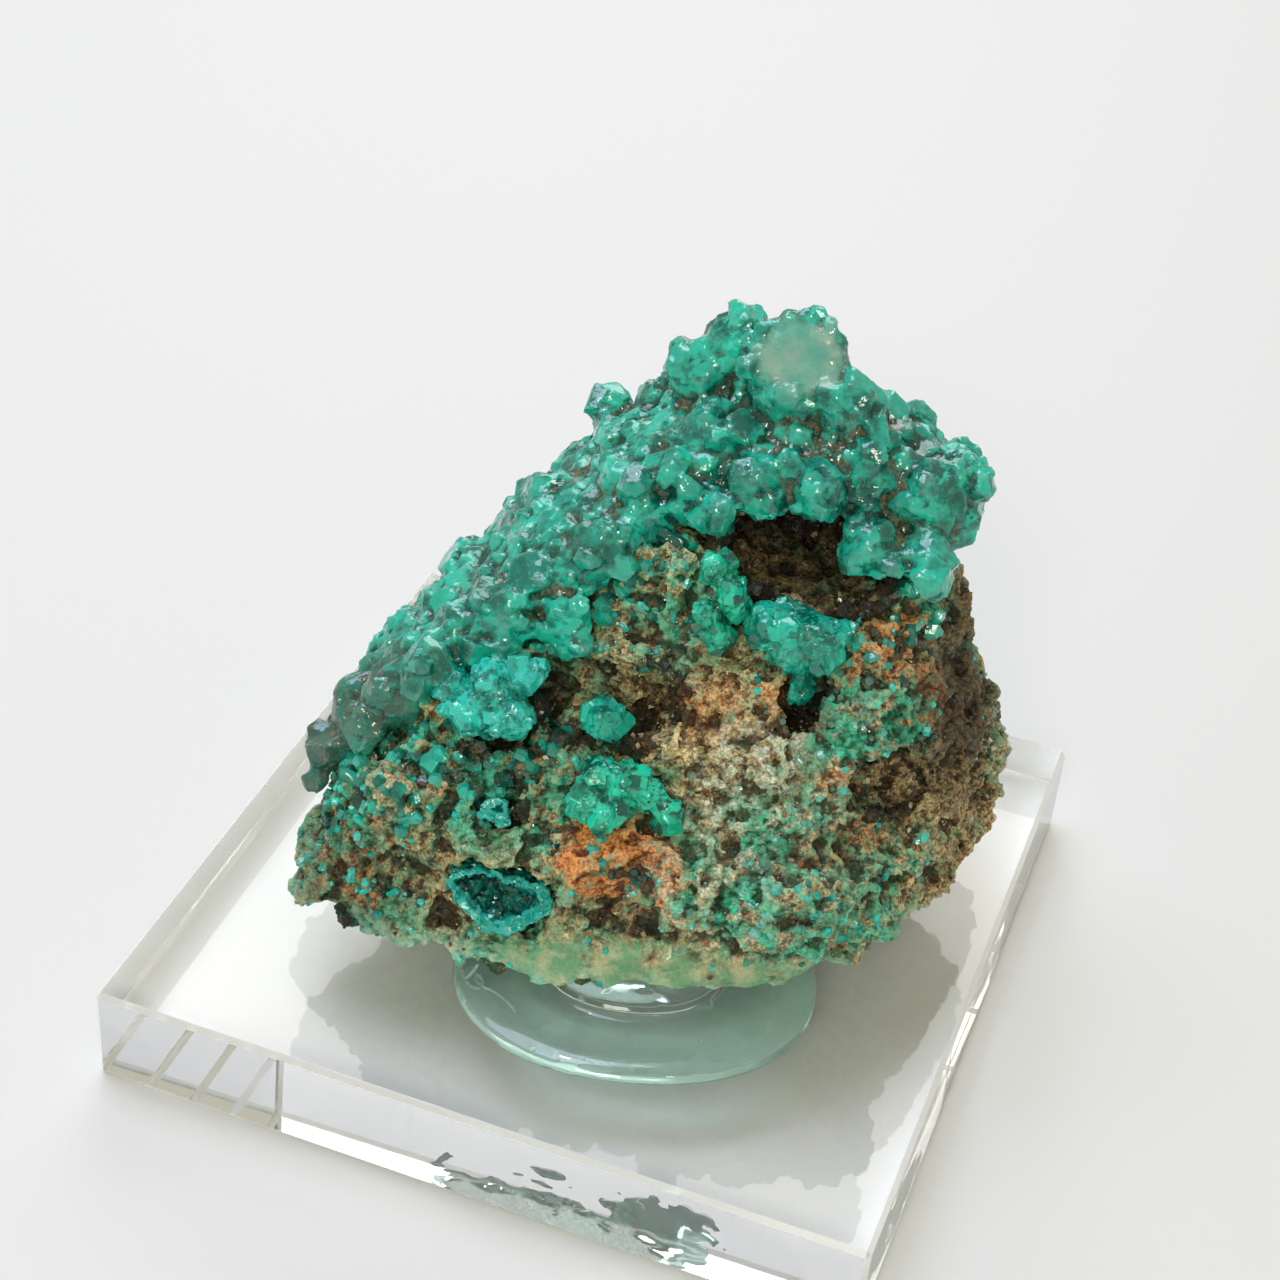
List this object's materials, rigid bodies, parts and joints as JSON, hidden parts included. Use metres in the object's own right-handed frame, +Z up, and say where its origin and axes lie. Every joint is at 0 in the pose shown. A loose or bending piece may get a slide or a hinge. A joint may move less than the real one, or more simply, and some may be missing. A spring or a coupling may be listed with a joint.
{
  "type": "dioptase mineral specimen on a clear slab",
  "caption": "Wedge of brown matrix with a crust of green crystals over its crest, fixed by a clear gel puddle to a square clear slab.",
  "frame": {"origin": "middle of the clear slab's underside", "axes": "+Z up, +X along the slab's front edge, +Y towards the back"},
  "size_m": [0.04, 0.04, 0.0362],
  "materials": {
    "clear_acrylic": "polished, clear",
    "clear_gel": "glossy, slightly cloudy",
    "brown_matrix": "rough, granular, rusty in places",
    "green_crystal": "glassy, translucent",
    "turquoise_crystal": "glassy, cloudy",
    "emerald_crystal": "glassy, deep green"
  },
  "bodies": {
    "root": {"acrylic_base": "clear_acrylic", "mounting_gel": "clear_gel", "matrix_rock": "brown_matrix", "crystal_crust": "green_crystal", "left_knob_cluster": "turquoise_crystal", "centre_knob_crystal": "green_crystal", "emerald_cluster": "emerald_crystal", "blade_crystals": "emerald_crystal", "right_knob_crystal": "green_crystal", "rimmed_pocket": "turquoise_crystal", "rimmed_vug": "turquoise_crystal"}
  },
  "joints": []
}
